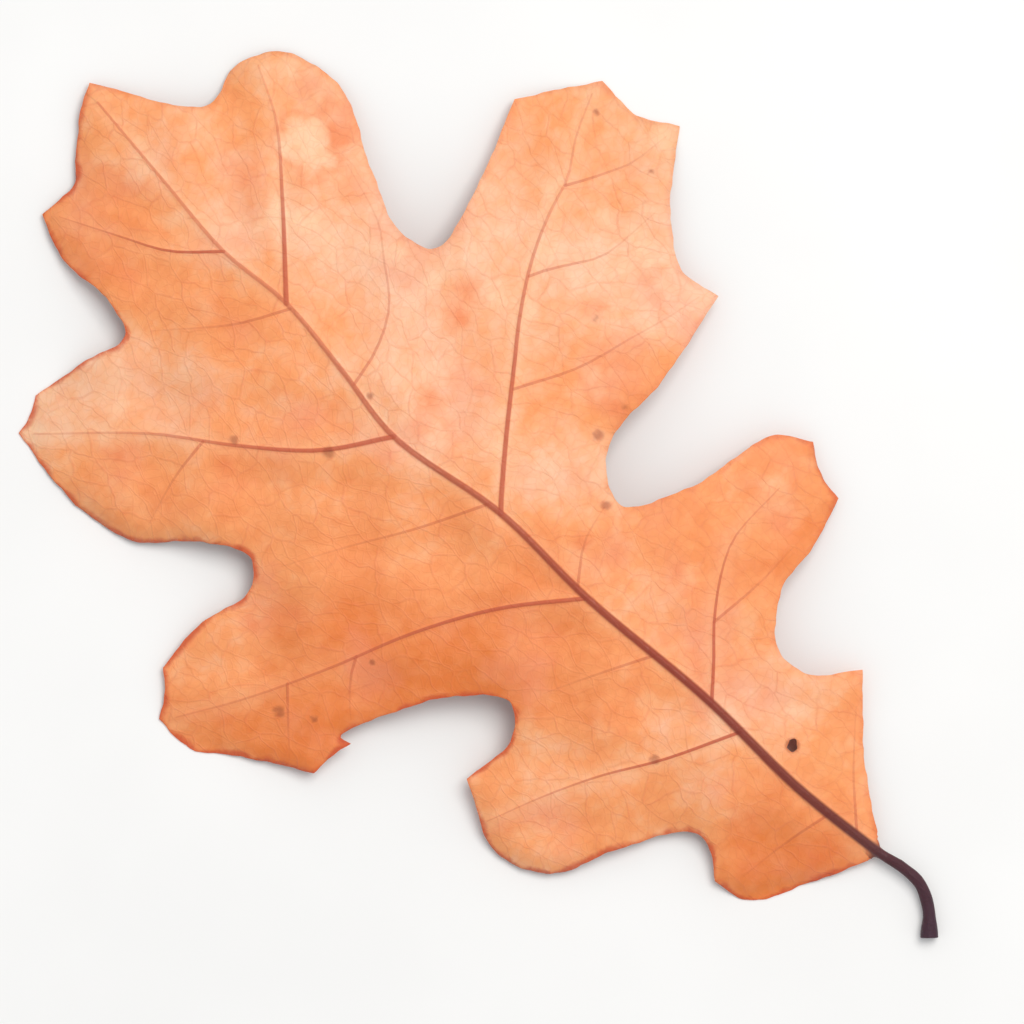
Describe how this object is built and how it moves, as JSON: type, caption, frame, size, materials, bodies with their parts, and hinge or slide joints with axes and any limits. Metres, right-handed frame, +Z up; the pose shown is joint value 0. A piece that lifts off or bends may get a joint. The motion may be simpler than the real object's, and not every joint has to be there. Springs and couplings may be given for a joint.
{
  "type": "autumn oak leaf",
  "caption": "Lobed oak leaf in autumn colour, picked with its short stalk, arched over the surface it lies on, with raised veins and a small insect hole.",
  "frame": {"origin": "under the middle of the leaf's bounding box, on the surface that it lies on", "axes": "+Y along the midrib from the stalk to the point, +X to the right of it, +Z up out of the paler side"},
  "size_m": [0.1172, 0.1784, 0.0117],
  "materials": {
    "dried_leaf": "matte, peach to orange, with red-brown veins"
  },
  "bodies": {
    "root": {"oak_leaf": "dried_leaf"}
  },
  "joints": []
}
